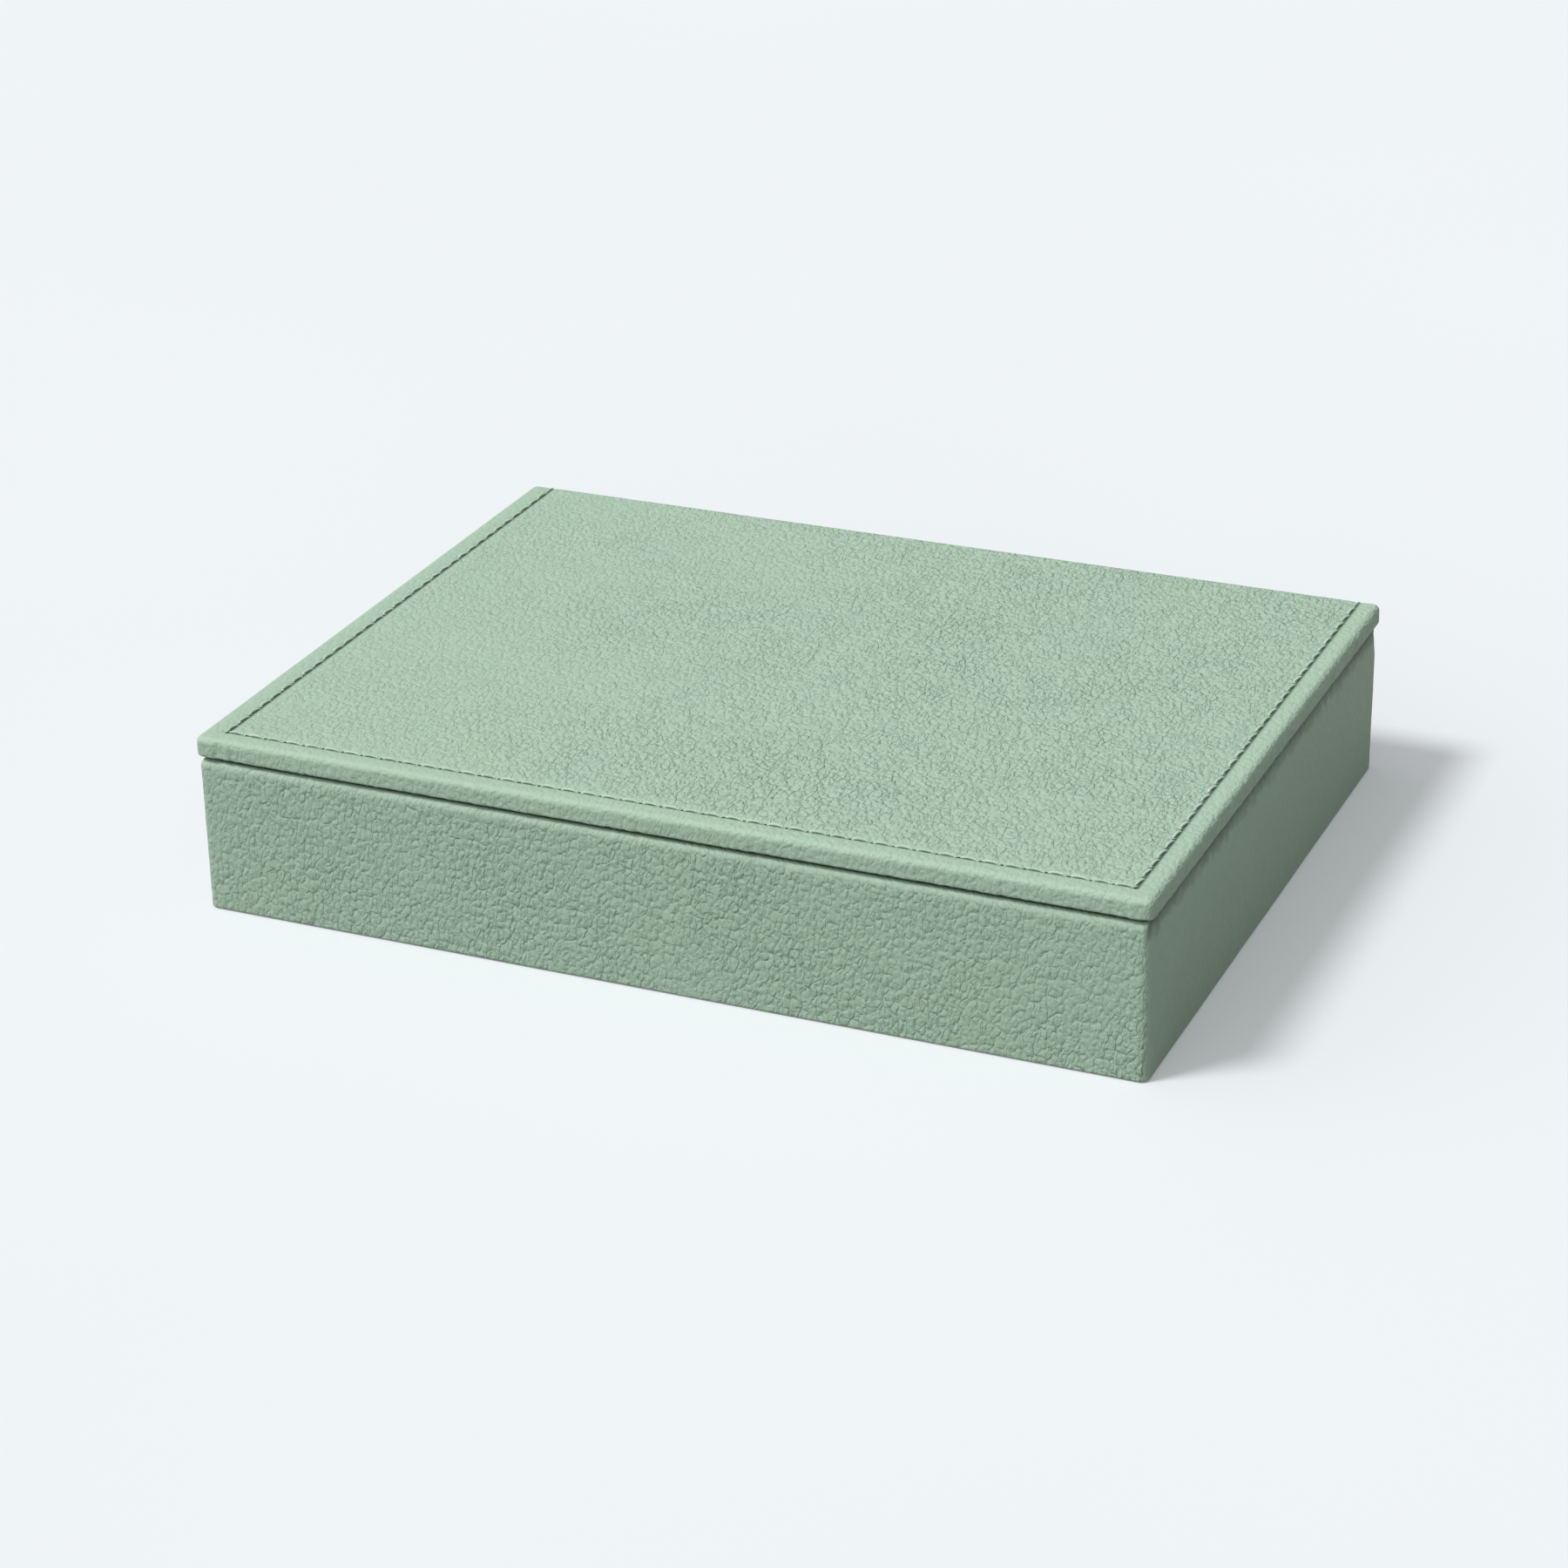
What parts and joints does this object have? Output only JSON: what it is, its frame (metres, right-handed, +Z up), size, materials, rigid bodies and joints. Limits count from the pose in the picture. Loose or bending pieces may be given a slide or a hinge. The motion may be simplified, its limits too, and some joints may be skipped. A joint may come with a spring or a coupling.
{
  "type": "lidded valet tray",
  "caption": "Shallow rectangular leather-covered tray with a flat stitched lid on a full-width leather hinge along the back, lined with suede.",
  "frame": {"origin": "on the table under the middle of the closed lid", "axes": "+Z up, X along the long front edge, +Y from the front towards the hinged back"},
  "size_m": [0.24, 0.1824, 0.0457],
  "materials": {
    "leather": "sage green pebble-grain leather, satin",
    "thread": "waxed sewing thread, a shade lighter than the leather",
    "suede": "napped suede lining, matte",
    "base_sheet": "napped suede sheet under the base, matte",
    "board": "raw fibreboard",
    "card": "grey-brown bookbinding card"
  },
  "bodies": {
    "box": {"base_board": "board", "front_wall_board": "board", "back_wall_board": "board", "left_wall_board": "board", "right_wall_board": "board", "box_leather": "leather", "base_filler_card": "card", "base_sheet": "base_sheet", "back_leather": "leather", "back_stitching": "thread", "floor_card": "card", "floor_suede": "suede", "front_liner_card": "card", "front_liner_suede": "suede", "back_liner_card": "card", "back_liner_suede": "suede", "left_liner_card": "card", "left_liner_suede": "suede", "right_liner_card": "card", "right_liner_suede": "suede", "hinge_leather": "leather", "hinge_lining": "suede"},
    "lid": {"lid_board": "board", "lid_filler_card": "card", "lid_leather": "leather", "lid_lining_card": "card", "lid_lining_suede": "suede", "lid_stitching": "thread"}
  },
  "joints": [
    {"name": "lid_hinge", "type": "hinge", "parent": "box", "child": "lid", "pos_m": [0, 0.0914, 0.0396], "axis": [-1, 0, 0], "range_deg": [0, 180], "deforming": ["hinge_leather", "hinge_lining"]}
  ]
}
